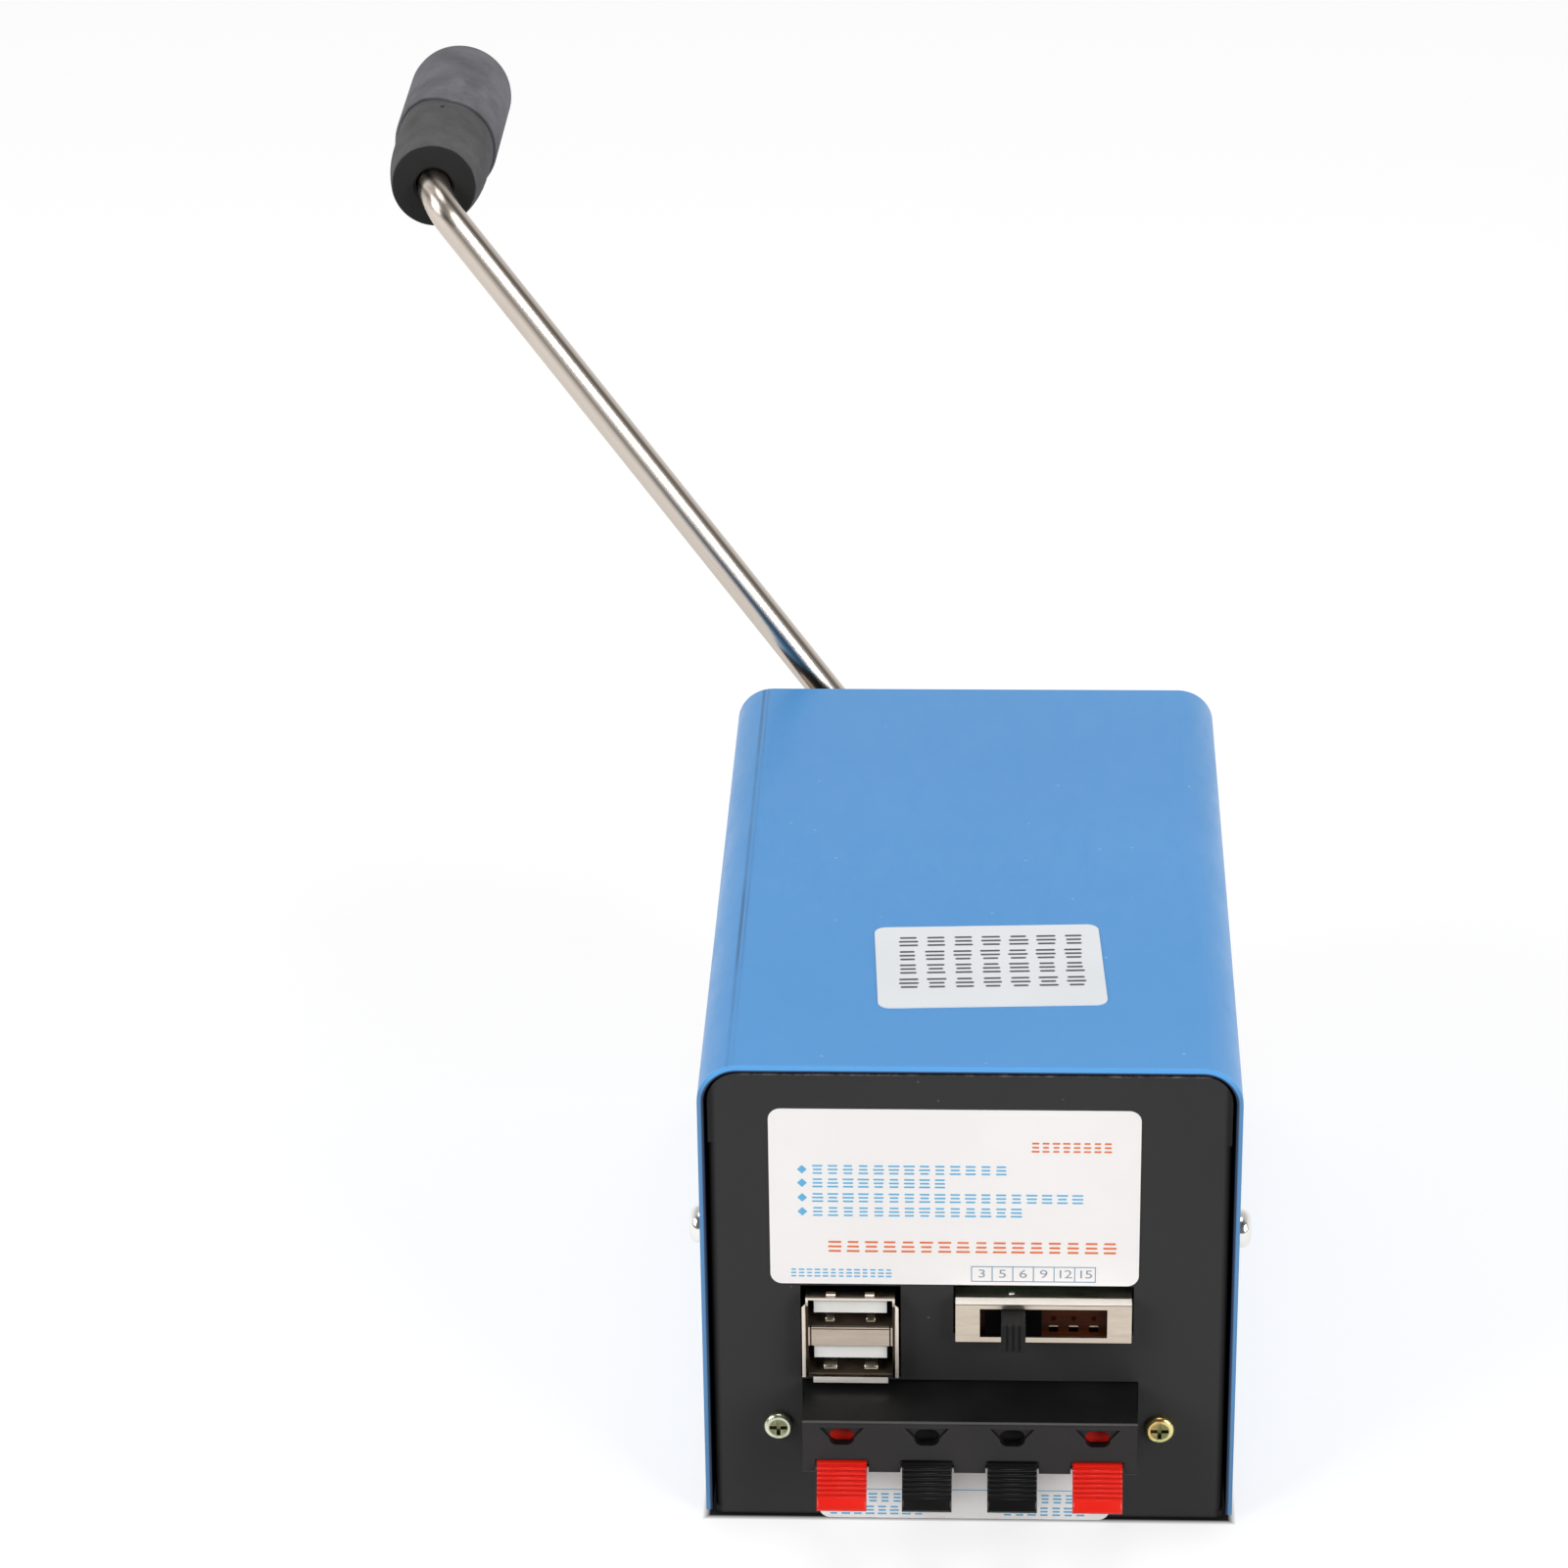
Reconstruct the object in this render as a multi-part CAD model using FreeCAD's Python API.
import FreeCAD, Part
import math
import os

# Hand crank generator: a folded steel case with a gear train and a small motor used as a
# dynamo at the rear, and sockets, a voltage slide and spring terminals at the front.
# Millimetres. Origin: centre of the case's underside. +X right, +Y to the rear, +Z up.

Vector = FreeCAD.Vector
X_AXIS = Vector(1, 0, 0)
Y_AXIS = Vector(0, 1, 0)
Z_AXIS = Vector(0, 0, 1)

# Clearances
press_gap = 0.02
running_gap = 0.05
axial_gap = 0.15
free_gap = 0.3
same_place = 1e-5

# Case
case_width = 80.0
case_height = 79.0
case_depth = 130.0
sheet = 1.0
cover_bend = 6.0
cover_lift = 1.5
side_gap = 0.4
panel_recess = 0.3
panel_step = 0.1
panel_top_radius = 4.5
panel_foot_radius = 1.5
chassis_bend = 1.5
flange_depth = 20.0
flange_low = 2.0
flange_drop = 11.6

# Cover screws
cover_screw_inset = 14.0
cover_screw_height = 43.6
cover_screw_head = 2.95
cover_screw_head_height = 2.4
cover_screw_length = 5.0
thread_boss_radius = 2.6
thread_boss_length = 2.0

# M3 thread and the small pan heads
thread_radius = 1.45
hole_slack = 0.2
pan_head = 2.75
pan_head_height = 2.0
pan_edge_share = 0.6
recess_width = 0.6
recess_share = 1.2
recess_depth = 0.9

# Labels
label_thickness = 0.15
label_radius = 1.8
front_label_left = -29.6
front_label_right = 25.2
front_label_low = 41.9
front_label_drop = 5.8
lower_label_left = -22.8
lower_label_right = 21.4
lower_label_low = 0.2
lower_label_high = 9.3
sticker_length = 34.3
sticker_width = 25.7
sticker_x = 2.8
sticker_y = -33.6
sticker_turn = 2.6

# Gear train
gear_module = 0.75
pressure_angle = math.radians(25)
large_teeth = 48
small_teeth = 12
backlash = 0.12
root_share = 1.25
flank_spans = 4
flank_crowding = 1.5
idler_side_gap = 2.94
idler_top_gap = 3.84
dynamo_swing = math.radians(35)
plate_thickness = 2.0
plate_side_gap = 2.1
plate_end_gap = 3.0
plate_corner = 3.5
pillar_length = 17.7
pillar_radius = 3.0
pillar_inset_x = 4.0
pillar_inset_z = 3.5
pillar_thread_depth = 6.0
gearbox_screw_length = 5.0
crank_gear_width = 6.0
idler_gear_width = 5.0
dynamo_pinion_width = 6.0
idler_gear_offset = 3.3
idler_hub_radius = 5.5
idler_shank_radius = 3.3
idler_pin_radius = 2.0
web_thickness = 2.5
rim_width = 2.6
web_hole_radius = 2.6
web_hole_count = 4

# Crank shaft
crank_shaft_radius = 4.0
crank_journal_radius = 3.0
shaft_flat = 3.4
bush_wall = 1.0
bush_flange_wall = 2.0
bush_flange = 1.0
bush_stand = 1.3
clip_thickness = 0.8
clip_radius = 6.0
clip_groove_depth = 0.8
clip_mouth_angle = math.radians(70)
shaft_step_gap = 0.6
shaft_head_radius = 7.0
shaft_head_gap = 0.2
arm_offset = 8.3
head_wall = 4.1
head_chamfer = 0.8
set_screw_radius = 2.0
set_screw_sink = 0.4
set_screw_socket = 1.15

# Crank arm and grip
crank_radius = 153.0
crank_angle = math.radians(35.6)
rod_radius = 2.7
rod_bend = 6.0
rod_tail = 9.0
rod_end_chamfer = 0.6
grip_length = 49.0
grip_gap = 0.2
grip_mouth_radius = 3.4
grip_lip = 1.8
grip_nose_radius = 6.8
grip_nose_edge = 0.8
grip_neck_radius = 8.0
grip_neck = 9.0
grip_neck_bend = 6.0
grip_step_radius = 8.2
grip_step = 18.0
grip_step_edge = 0.3
grip_radius = 8.7
grip_end_radius = 3.0
grip_end_wall = 5.0
core_wall = 3.1
core_running_gap = 0.15
core_length = 33.0
grip_clip_radius = 5.0
grip_clip_thickness = 0.8
rod_end_past_clip = 1.5

# Dynamo (a small permanent magnet motor)
dynamo_radius = 21.0
dynamo_board_gap = 8.7
dynamo_wall = 1.5
dynamo_edge = 2.0
dynamo_boss_radius = 6.5
dynamo_boss_height = 1.8
dynamo_shaft_radius = 2.0
dynamo_bush_radius = 4.5
dynamo_screw_circle = 14.5
magnet_gap = 0.1
magnet_thickness = 2.9
magnet_angle = math.radians(130)
magnet_overhang = 4.0
air_gap = 0.6
armature_start = 10.0
slot_count = 5
slot_neck = 2.0
slot_floor = 5.2
slot_roof = 13.4
slot_spread = 5.6
coil_overhang = 3.4
coil_gap = 0.15
commutator_radius = 5.5
commutator_length = 6.0
commutator_groove = 0.5
commutator_gap = 2.0
commutator_end_gap = 0.6
brush_width = 3.6
brush_height = 3.0
brush_length = 7.0
brush_gap = 0.1
brush_holder_setback = 1.2
brush_holder_wall = 1.0
cap_thickness = 4.0
cap_spigot = 3.0
tab_width = 4.0
tab_thickness = 0.6
tab_length = 5.0
tab_offset = 8.0
tab_above_board = 6.35

# USB socket pair
usb_x = -17.7
usb_width = 13.3
usb_low = 26.9
usb_high = 40.65
usb_proud = 2.3
usb_length = 17.5
usb_wall = 0.35
usb_divider_low = 32.4
usb_divider_high = 35.6
usb_divider_depth = 11.0
usb_flap_width = 11.2
usb_flap_drop = 1.05
usb_ear = 0.5
usb_ear_low = 30.0
usb_ear_high = 38.0
usb_ear_depth = 3.5
usb_spring_width = 1.4
usb_spring_height = 0.5
usb_spring_spacing = 5.8
tongue_width = 10.9
tongue_thickness = 2.0
tongue_drop = 0.7
tongue_setback = 1.0
insulator_depth = 5.0
usb_cut_gap = 0.35

# Voltage slide switch
switch_x = 11.1
switch_length = 26.2
switch_low = 33.6
switch_high = 40.2
switch_proud = 2.8
switch_wall = 0.4
switch_depth = 9.0
switch_positions = 6
switch_pitch = 3.0
switch_rest_position = 1
knob_width = 3.65
knob_height = 4.6
knob_reach = 4.5
knob_slack = 0.15
knob_edge = 0.3
knob_groove_share = 0.4
knob_rib_count = 4
knob_rib_depth = 0.35
slider_width = 8.4
slider_height = 5.4
slider_thickness = 1.0
slider_gap = 0.06
switch_pin_radius = 0.4
switch_pin_length = 3.0
switch_cut_above = 1.5

# Spring terminals
terminal_x = 0.2
terminal_half_width = 24.9
terminal_reach = 11.3
terminal_low = 9.9
terminal_high = 24.7
terminal_front_low = 15.9
terminal_depth = 10.7
terminal_wall = 1.5
terminal_roof = 1.3
terminal_edge = 0.5
terminal_lip_edge = 0.3
terminal_pitch = 12.7
terminal_count = 4
terminal_ear_end = 4.2
terminal_ear_thickness = 2.0
terminal_ear_margin = 0.5
terminal_screw_spacing = 57.5
terminal_screw_height = 16.9
terminal_screw_head = 2.25
terminal_screw_head_height = 1.1
terminal_screw_length = 8.0
nut_across_flats = 5.5
nut_thickness = 2.4
wire_hole_height = 22.0
wire_hole_width = 3.8
wire_hole_tall = 2.6
wire_hole_corner = 1.25
hood_width = 6.6
hood_depth = 0.4
hood_rise = 1.7
lever_width = 7.4
lever_slack = 0.3
lever_pivot_setback = 8.0
lever_pivot_height = 19.0
lever_trunnion_radius = 1.0
lever_trunnion_length = 1.0
lever_nose_radius = 6.1
lever_barrel_radius = 2.2
lever_top = 23.1
lever_notch = 18.1
lever_root_out = 0.3
lever_root_height = 17.75
lever_tip_out = 4.4
lever_tip_height = 11.9
lever_tab_thickness = 2.2
lever_rib_count = 7
lever_rib_pitch = 0.72
lever_rib_depth = 0.3
lever_groove_start = 0.54
lever_groove_half = 0.16
lever_belly_half = 1.1
spring_thickness = 0.4
spring_width = 5.0
spring_tip_setback = 4.2
spring_knee_drop = 6.6
spring_knee_bend = 0.6
spring_gap = 0.15

# Circuit boards and their parts
board_thickness = 1.6
board_side_gap = 4.1
board_length = 42.0
board_setback = 1.0
board_hole_inset_x = 4.5
board_hole_front = 18.0
board_hole_rear = 4.0
standoff_radius = 2.75
standoff_foot_radius = 2.1
board_screw_length = 6.0
side_board_width = 34.0
side_board_height = 20.0
capacitor_radius = 6.25
capacitor_height = 20.0
capacitor_groove = 0.5
capacitor_groove_height = 2.5
small_capacitor_radius = 4.0
small_capacitor_height = 12.0
capacitor_spacing = 1.0
inductor_radius = 9.0
inductor_bore = 4.0
inductor_thickness = 7.0
inductor_turns = 18
inductor_wire_radius = 0.5
inductor_corner = 0.55
inductor_wound_angle = 300.0
inductor_gap = 1.0
regulator_width = 10.0
regulator_height = 15.0
regulator_body_height = 9.0
regulator_hole_height = 12.0
regulator_inset = 2.0
regulator_thickness = 4.4
regulator_tab = 1.2
rectifier_size = 15.0
rectifier_thickness = 4.0
rectifier_corner = 1.0
rectifier_gap = 2.0
rectifier_side_gap = 1.05

# Leads
lead_radius = 0.9
lead_bend = 4.0
lead_run = 6.0
terminal_lead_run = 5.0

# Places worked out from the sizes above
half_width = case_width / 2
half_depth = case_depth / 2
cover_inner_x = half_width - sheet
flange_x = cover_inner_x - side_gap
panel_half_width = flange_x - panel_step
panel_top = case_height - sheet - side_gap
flange_inner_x = flange_x - sheet
flange_high = panel_top - flange_drop
front_label_high = panel_top - front_label_drop
panel_y = half_depth - panel_recess
front_face = -panel_y
front_inner = front_face + sheet
rear_inner = panel_y - sheet
rear_plate_y = rear_inner - plate_thickness
front_plate_top = rear_plate_y - pillar_length
front_plate_y = front_plate_top - plate_thickness
plate_half_width = flange_inner_x - plate_side_gap
plate_low = sheet + plate_end_gap
plate_high = case_height - sheet - plate_end_gap
gear_distance = gear_module * (large_teeth + small_teeth) / 2
large_tip = gear_module * (large_teeth / 2 + 1)
idler_x = flange_inner_x - idler_side_gap - large_tip
idler_z = case_height - sheet - idler_top_gap - large_tip
idler_rise = math.sqrt(gear_distance ** 2 - idler_x ** 2)
idler_angle = math.atan2(idler_rise, idler_x)
dynamo_angle = idler_angle + math.pi + dynamo_swing
idler_centre = Vector(idler_x, 0, idler_z)
crank_centre = Vector(0, 0, idler_z - idler_rise)
dynamo_centre = idler_centre + Vector(math.cos(dynamo_angle), 0, math.sin(dynamo_angle)) * gear_distance
crank_gear_rear = rear_plate_y - bush_flange - axial_gap
crank_gear_front = crank_gear_rear - crank_gear_width
clip_rear = crank_gear_front - axial_gap
clip_front = clip_rear - clip_thickness
shaft_step_y = clip_front - shaft_step_gap
idler_gear_front = front_plate_top + idler_gear_offset
idler_gear_rear = idler_gear_front + idler_gear_width
arm_y = panel_y + arm_offset
head_front = panel_y + bush_stand + shaft_head_gap
head_rear = arm_y + rod_radius + head_wall
arm_direction = Vector(-math.sin(crank_angle), 0, math.cos(crank_angle))
grip_axis = crank_centre + arm_direction * crank_radius
grip_front = arm_y + rod_bend + grip_gap
core_radius = rod_radius + core_wall
core_front = grip_front + grip_lip
core_rear = core_front + core_length
grip_clip_front = core_rear + axial_gap
rod_end_y = grip_clip_front + grip_clip_thickness + rod_end_past_clip
board_top = usb_low
board_low = board_top - board_thickness
tab_z = board_top + tab_above_board
board_front = front_inner + board_setback
board_rear = board_front + board_length
board_width = 2 * (flange_inner_x - board_side_gap)
board_screw_edge = board_hole_inset_x + pan_head - board_width / 2
dynamo_can_length = front_plate_y - board_rear - dynamo_board_gap - cap_thickness
commutator_start = dynamo_can_length - commutator_end_gap - commutator_length
armature_length = commutator_start - commutator_gap - coil_overhang - armature_start
magnet_start = armature_start - magnet_overhang
magnet_length = armature_length + 2 * magnet_overhang
usb_front = front_face - usb_proud
usb_rear = usb_front + usb_length
switch_front = front_face - switch_proud
switch_rear = switch_front + switch_depth
switch_z = (switch_low + switch_high) / 2
slot_length = (switch_positions - 1) * switch_pitch + knob_width + 2 * knob_slack
slot_height = knob_height + 2 * knob_slack
knob_x = switch_x + (switch_rest_position - (switch_positions - 1) / 2) * switch_pitch
terminal_front = front_face - terminal_reach
pivot_y = terminal_front + lever_pivot_setback
chamber_half = lever_width / 2 + lever_slack
chamber_top = terminal_high - terminal_roof
chamber_front = terminal_front + terminal_wall
chamber_rear = front_face - free_gap


# ---- Helpers ----

def block(x_range, y_range, z_range):
    """A block between two values along each axis."""
    corner = Vector(x_range[0], y_range[0], z_range[0])
    sizes = [max(ends) - min(ends) for ends in (x_range, y_range, z_range)]
    return Part.makeBox(sizes[0], sizes[1], sizes[2], corner)


def cylinder(radius, start, axis, length):
    """A cylinder from a start point along an axis."""
    return Part.makeCylinder(radius, length, start, axis)


def along_y(radius, centre, y_from, y_to):
    """A cylinder along Y, on the centre's X and Z."""
    return cylinder(radius, Vector(centre.x, y_from, centre.z), Y_AXIS, y_to - y_from)


def tube_y(outer, inner, centre, y_from, y_to):
    """A plain ring or tube along Y."""
    return along_y(outer, centre, y_from, y_to).cut(along_y(inner, centre, y_from, y_to))


def joined(shapes):
    """One solid out of touching shapes."""
    return shapes[0].multiFuse(shapes[1:]).removeSplitter()


def mirrored_x(shape):
    """The same shape on the other side of the YZ plane."""
    return shape.mirror(Vector(0, 0, 0), X_AXIS)


def mirrored_y(shape):
    """The same shape on the other side of the XZ plane."""
    return shape.mirror(Vector(0, 0, 0), Y_AXIS)


def turned(shape, direction, position):
    """A shape drawn along +Z, turned to a direction and moved into place."""
    placed = shape.copy()
    placed.Placement = FreeCAD.Placement(position, FreeCAD.Rotation(Z_AXIS, direction))
    return placed


def corner_arc(before, here, after, radius):
    """The two ends and the middle of the arc that rounds one corner."""
    to_before = (before - here).normalize()
    to_after = (after - here).normalize()
    half_turn = to_before.getAngle(to_after) / 2
    cut_back = radius / math.tan(half_turn)
    middle = (to_before + to_after).normalize() * (radius / math.sin(half_turn) - radius)
    return here + to_before * cut_back, here + middle, here + to_after * cut_back


def outline(corners, radii):
    """A closed outline; each corner is rounded by its radius, and 0 leaves it sharp."""
    edges = []
    count = len(corners)
    arcs = []
    for index, here in enumerate(corners):
        after = corners[(index + 1) % count]
        arcs.append(corner_arc(corners[index - 1], here, after, radii[index]))
    for index, (entry, middle, leave) in enumerate(arcs):
        previous = arcs[index - 1][2]
        if (entry - previous).Length > same_place:
            edges.append(Part.LineSegment(previous, entry).toShape())
        if radii[index] > 0:
            edges.append(Part.Arc(entry, middle, leave).toShape())
    return Part.Wire(edges)


def prism(corners, radii, travel):
    """A solid with a rounded outline, pushed out along a vector."""
    return Part.Face(outline(corners, radii)).extrude(travel)


def rounded_block_y(x_range, y_range, z_range, radius):
    """A block along Y whose four long edges are rounded."""
    corners = [Vector(x, y_range[0], z) for x, z in (
        (x_range[0], z_range[0]), (x_range[1], z_range[0]),
        (x_range[1], z_range[1]), (x_range[0], z_range[1]))]
    return prism(corners, [radius] * 4, Y_AXIS * (y_range[1] - y_range[0]))


def lead(points, radius, bend):
    """A round wire: straight runs joined by tangent arcs."""
    edges = []
    start = points[0]
    for index in range(1, len(points) - 1):
        entry, middle, leave = corner_arc(points[index - 1], points[index], points[index + 1], bend)
        edges.append(Part.LineSegment(start, entry).toShape())
        edges.append(Part.Arc(entry, middle, leave).toShape())
        start = leave
    edges.append(Part.LineSegment(start, points[-1]).toShape())
    path = Part.Wire(edges)
    section = Part.Wire(Part.Circle(points[0], points[1] - points[0], radius).toShape())
    solid = path.makePipeShell([section], True, False)
    wanted = math.pi * radius ** 2 * path.Length
    print("round wire: volume %.2f, section times length %.2f" % (solid.Volume, wanted))
    return solid


def recess_cross(size, depth):
    """The cross of a screw's recess, cut downwards from z = 0."""
    arm = block((-size, size), (-recess_width / 2, recess_width / 2), (-depth, depth))
    return arm.fuse(arm.rotated(Vector(0, 0, 0), Z_AXIS, 90))


def pan_screw(head_radius, head_height, length):
    """A pan head screw along Z: its head stands above z = 0 and its shank hangs below."""
    head = cylinder(head_radius, Vector(0, 0, 0), Z_AXIS, head_height)
    rim = [edge for edge in head.Edges if abs(edge.BoundBox.ZMin - head_height) < same_place]
    head = head.makeFillet(head_height * pan_edge_share, rim)
    cross = recess_cross(head_radius * recess_share / 2, recess_depth)
    cross.translate(Vector(0, 0, head_height))
    shank = cylinder(thread_radius, Vector(0, 0, -length), Z_AXIS, length)
    return joined([head.cut(cross), shank])


def save(name, shape):
    """Write one sub-part."""
    shape.exportStep("parts/%s.step" % name)
    print("%-20s %d solid(s), %.1f mm3" % (name, len(shape.Solids), shape.Volume))


# ---- Case ----

def cover_screw_places():
    """Where the four side screws enter the cover, with their outward directions."""
    places = []
    for side in (-1, 1):
        for end in (-1, 1):
            y = end * (panel_y - cover_screw_inset)
            places.append((Vector(side * half_width, y, cover_screw_height), X_AXIS * side))
    return places


def terminal_screw_places():
    """Where the two terminal screws enter the front panel."""
    return [Vector(side * terminal_screw_spacing / 2, front_face, terminal_screw_height)
            for side in (-1, 1)]


def pillar_places():
    """The four corners of the gearbox, as X and Z."""
    x = plate_half_width - pillar_inset_x
    return [Vector(side * x, 0, z) for side in (-1, 1)
            for z in (plate_low + pillar_inset_z, plate_high - pillar_inset_z)]


def standoff_places():
    """The four board supports, as X and Y."""
    x = board_width / 2 - board_hole_inset_x
    return [Vector(side * x, y, 0) for side in (-1, 1)
            for y in (board_front + board_hole_front, board_rear - board_hole_rear)]


def chassis_tray():
    """Front panel, floor and rear panel, folded from one strip."""
    corners = [
        Vector(-panel_half_width, -panel_y, panel_top), Vector(-panel_half_width, -panel_y, 0),
        Vector(-panel_half_width, panel_y, 0), Vector(-panel_half_width, panel_y, panel_top),
        Vector(-panel_half_width, rear_inner, panel_top), Vector(-panel_half_width, rear_inner, sheet),
        Vector(-panel_half_width, front_inner, sheet), Vector(-panel_half_width, front_inner, panel_top)]
    inner_bend = chassis_bend - sheet
    radii = [0, chassis_bend, chassis_bend, 0, 0, inner_bend, inner_bend, 0]
    strip = prism(corners, radii, X_AXIS * 2 * panel_half_width)
    face = [Vector(-panel_half_width, 0, 0), Vector(panel_half_width, 0, 0),
            Vector(panel_half_width, 0, panel_top), Vector(-panel_half_width, 0, panel_top)]
    face_radii = [panel_foot_radius, panel_foot_radius, panel_top_radius, panel_top_radius]
    front = prism(face, face_radii, Y_AXIS * chassis_bend)
    front.translate(Vector(0, -panel_y, 0))
    middle = block((-panel_half_width, panel_half_width), (chassis_bend - panel_y, panel_y - chassis_bend),
                   (0, panel_top))
    return strip.common(joined([front, middle, mirrored_y(front)]))


def chassis_flange():
    """The front right side flange, with the bend that joins it to the front panel."""
    bend_x = flange_x - chassis_bend
    rear = front_face + flange_depth
    corners = [Vector(bend_x, front_face, flange_low), Vector(flange_x, front_face, flange_low),
               Vector(flange_x, rear, flange_low), Vector(flange_inner_x, rear, flange_low),
               Vector(flange_inner_x, front_inner, flange_low), Vector(bend_x, front_inner, flange_low)]
    radii = [0, chassis_bend, 0, 0, chassis_bend - sheet, 0]
    flange = prism(corners, radii, Z_AXIS * (flange_high - flange_low))
    middle = Vector(flange_inner_x, front_face + cover_screw_inset, cover_screw_height)
    return flange.fuse(cylinder(thread_boss_radius, middle, -X_AXIS, thread_boss_length))


def front_cutouts():
    """Openings of the front panel for the sockets, the slide and the terminals."""
    y_range = (front_face - sheet, front_inner + sheet)
    usb_half = usb_width / 2 + usb_ear + usb_cut_gap
    usb = block((usb_x - usb_half, usb_x + usb_half), y_range,
                (usb_low - usb_flap_drop - usb_cut_gap, usb_high + usb_spring_height + usb_cut_gap))
    switch_half = switch_length / 2 + usb_cut_gap
    switch = block((switch_x - switch_half, switch_x + switch_half), y_range,
                   (switch_low - usb_cut_gap, switch_high + switch_cut_above))
    terminal_half = terminal_half_width + usb_cut_gap
    terminal = block((terminal_x - terminal_half, terminal_x + terminal_half), y_range,
                     (terminal_low - usb_cut_gap, terminal_high + usb_cut_gap))
    holes = [along_y(thread_radius + hole_slack, place, y_range[0], y_range[1])
             for place in terminal_screw_places()]
    return [usb, switch, terminal] + holes


def chassis():
    """The folded steel chassis that carries everything."""
    body = chassis_tray()
    bend_x = flange_x - chassis_bend
    strip = block((bend_x, half_width), (front_face - sheet, front_inner), (flange_low, flange_high))
    right = [strip, mirrored_y(strip)]
    body = body.cut(right + [mirrored_x(shape) for shape in right])
    flange = chassis_flange()
    flanges = [flange, mirrored_y(flange)]
    body = joined([body] + flanges + [mirrored_x(shape) for shape in flanges])
    cuts = front_cutouts()
    for place, outward in cover_screw_places():
        cuts.append(cylinder(thread_radius + press_gap, place, -outward, half_width / 2))
    for place in pillar_places():
        cuts.append(along_y(thread_radius + hole_slack, place, rear_inner - sheet, panel_y + sheet))
    for place in standoff_places():
        cuts.append(cylinder(standoff_foot_radius, place, Z_AXIS, sheet))
    bush_hole = crank_shaft_radius + running_gap + bush_wall + free_gap
    cuts.append(along_y(bush_hole, crank_centre, rear_inner - sheet, panel_y + sheet))
    return body.cut(cuts)


def top_cover():
    """The folded blue cover: a top and two sides."""
    front = -half_depth
    inner_top = case_height - sheet
    corners = [
        Vector(-half_width, front, cover_lift), Vector(-half_width, front, case_height),
        Vector(half_width, front, case_height), Vector(half_width, front, cover_lift),
        Vector(cover_inner_x, front, cover_lift), Vector(cover_inner_x, front, inner_top),
        Vector(-cover_inner_x, front, inner_top), Vector(-cover_inner_x, front, cover_lift)]
    inner_bend = cover_bend - sheet
    radii = [0, cover_bend, cover_bend, 0, 0, inner_bend, inner_bend, 0]
    shell = prism(corners, radii, Y_AXIS * case_depth)
    holes = [cylinder(thread_radius + hole_slack, place + outward, -outward, 3 * sheet)
             for place, outward in cover_screw_places()]
    return shell.cut(holes)


def cover_screws():
    """Four side screws that hold the cover to the chassis flanges."""
    screw = pan_screw(cover_screw_head, cover_screw_head_height, cover_screw_length)
    return Part.makeCompound([turned(screw, outward, place) for place, outward in cover_screw_places()])


def panel_label(left, right, low, high):
    """A thin label on the front panel."""
    y_range = (front_face - label_thickness, front_face)
    return rounded_block_y((left, right), y_range, (low, high), label_radius)


def top_sticker():
    """A thin label on top of the cover, put on a little askew."""
    half_x = sticker_length / 2
    half_y = sticker_width / 2
    corners = [Vector(-half_x, -half_y, 0), Vector(half_x, -half_y, 0),
               Vector(half_x, half_y, 0), Vector(-half_x, half_y, 0)]
    label = prism(corners, [label_radius] * 4, Z_AXIS * label_thickness)
    label.rotate(Vector(0, 0, 0), Z_AXIS, sticker_turn)
    label.translate(Vector(sticker_x, sticker_y, case_height))
    return label


# ---- Gear train ----

def involute(angle):
    """The involute function of a pressure angle."""
    return math.tan(angle) - angle


def gear_face(teeth, first_tooth):
    """A spur gear's outline in the XZ plane, with one tooth centred on the first_tooth angle."""
    pitch_radius = gear_module * teeth / 2
    base_radius = pitch_radius * math.cos(pressure_angle)
    root_radius = pitch_radius - root_share * gear_module
    tip_radius = pitch_radius + gear_module
    flank_start = max(base_radius, root_radius)
    half_tooth = math.pi / (2 * teeth) - backlash / (2 * pitch_radius)

    def point(radius, angle):
        return Vector(radius * math.cos(angle), 0, radius * math.sin(angle))

    def half_angle(radius):
        here = math.acos(base_radius / radius)
        return half_tooth + involute(pressure_angle) - involute(here)

    shares = [(span / flank_spans) ** flank_crowding for span in range(flank_spans + 1)]
    steps = [flank_start + (tip_radius - flank_start) * share for share in shares]
    foot_angle = half_angle(flank_start)
    edges = []
    for tooth in range(teeth):
        middle = first_tooth + 2 * math.pi * tooth / teeth
        rising = [point(radius, middle - half_angle(radius)) for radius in steps]
        falling = [point(radius, middle + half_angle(radius)) for radius in reversed(steps)]
        foot_in = point(root_radius, middle - foot_angle)
        foot_out = point(root_radius, middle + foot_angle)
        for points in (rising, falling):
            curve = Part.BSplineCurve()
            curve.interpolate(points)
            edges.append(curve.toShape())
        edges.append(Part.Arc(rising[-1], point(tip_radius, middle), falling[0]).toShape())
        if flank_start > root_radius:
            edges.append(Part.LineSegment(foot_in, rising[0]).toShape())
            edges.append(Part.LineSegment(falling[-1], foot_out).toShape())
        next_middle = middle + 2 * math.pi / teeth
        gap_middle = point(root_radius, middle + math.pi / teeth)
        next_foot = point(root_radius, next_middle - foot_angle)
        edges.append(Part.Arc(foot_out, gap_middle, next_foot).toShape())
    return Part.Face(Part.Wire(Part.__sortEdges__(edges)))


def gear(teeth, first_tooth, centre, y_from, y_to):
    """A spur gear between two Y values."""
    blank = gear_face(teeth, first_tooth).extrude(Y_AXIS * (y_to - y_from))
    blank.translate(Vector(centre.x, y_from, centre.z))
    return blank


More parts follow.
